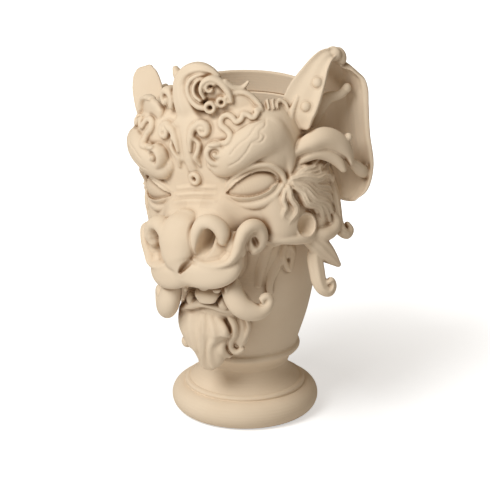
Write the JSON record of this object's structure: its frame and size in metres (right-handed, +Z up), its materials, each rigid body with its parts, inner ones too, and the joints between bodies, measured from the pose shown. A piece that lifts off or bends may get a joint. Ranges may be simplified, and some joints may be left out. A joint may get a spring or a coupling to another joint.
{
  "type": "pedestal vase",
  "caption": "Unglazed earthenware pedestal vase, its cup modelled as a tusked beast's head with horns, ears, mane and beard.",
  "frame": {"origin": "centre of the foot's underside", "axes": "+Z up through the mouth of the cup, the beast's face towards -Y, its left side towards +X"},
  "size_m": [0.2398, 0.1782, 0.3478],
  "materials": {
    "turned_clay": "unglazed biscuit-fired clay, wheel-turned and sponged smooth",
    "modelled_clay": "unglazed biscuit-fired clay, modelled by hand, with clay wash left in the hollows"
  },
  "bodies": {
    "root": {"forehead": "modelled_clay", "muzzle": "modelled_clay", "cheek_left": "modelled_clay", "cheek_right": "modelled_clay", "nose": "modelled_clay", "nostril_left": "modelled_clay", "nostril_right": "modelled_clay", "lip_scroll_left": "modelled_clay", "lip_scroll_right": "modelled_clay", "eye_left": "modelled_clay", "eye_right": "modelled_clay", "upper_lid_left": "modelled_clay", "upper_lid_right": "modelled_clay", "lower_lid_left": "modelled_clay", "lower_lid_right": "modelled_clay", "brow_left": "modelled_clay", "brow_right": "modelled_clay", "forehead_stem": "modelled_clay", "forehead_bead": "modelled_clay", "tendril_left": "modelled_clay", "tendril_right": "modelled_clay", "ribbon_left": "modelled_clay", "ribbon_right": "modelled_clay", "vine_left": "modelled_clay", "vine_right": "modelled_clay", "plate_left": "modelled_clay", "plate_right": "modelled_clay", "crest": "modelled_clay", "crest_scroll": "modelled_clay", "crest_spiral": "modelled_clay", "comb_left": "modelled_clay", "comb_right": "modelled_clay", "ear_leaf_left": "modelled_clay", "ear_leaf_right": "modelled_clay", "ear_shell_left": "modelled_clay", "ear_shell_right": "modelled_clay", "ear_horn_left": "modelled_clay", "ear_horn_right": "modelled_clay", "mane_left": "modelled_clay", "mane_right": "modelled_clay", "cheek_roll_left": "modelled_clay", "cheek_roll_right": "modelled_clay", "hanging_lock_left": "modelled_clay", "hanging_lock_right": "modelled_clay", "outer_lock_left": "modelled_clay", "outer_lock_right": "modelled_clay", "upper_teeth": "modelled_clay", "tusk_left": "modelled_clay", "tusk_right": "modelled_clay", "jaw": "modelled_clay", "tongue": "modelled_clay", "lower_teeth": "modelled_clay", "beard": "modelled_clay", "beard_lock_left": "modelled_clay", "beard_lock_right": "modelled_clay", "foot": "turned_clay", "collar": "turned_clay", "cup": "turned_clay", "rim": "turned_clay"}
  },
  "joints": []
}
